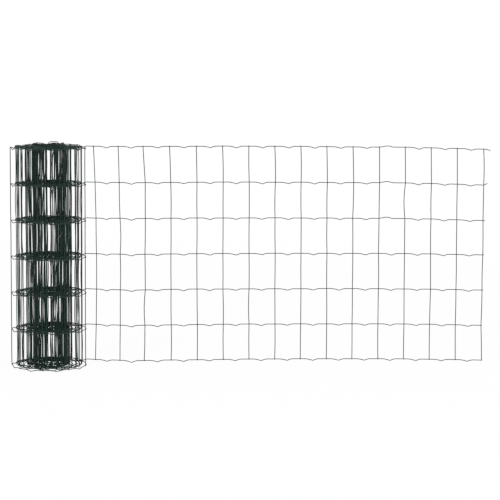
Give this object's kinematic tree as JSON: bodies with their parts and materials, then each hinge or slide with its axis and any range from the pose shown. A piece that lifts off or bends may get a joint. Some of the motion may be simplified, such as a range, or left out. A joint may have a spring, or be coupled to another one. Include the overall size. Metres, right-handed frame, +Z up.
{
  "type": "roll of wire fencing",
  "caption": "Roll of plastic-coated welded wire fencing on end, with crimped line wires and a free length of open mesh drawn out to one side.",
  "frame": {"origin": "on the roll's axis, at the floor that it stands on", "axes": "+Z up along the roll's axis, +X along the free length, away from the roll"},
  "size_m": [1.3361, 0.2091, 0.6083],
  "materials": {
    "coated_wire": "satin, dark green plastic coat on steel wire"
  },
  "bodies": {
    "root": {"wound_roll": "coated_wire", "loose_turn": "coated_wire", "free_length": "coated_wire"}
  },
  "joints": []
}
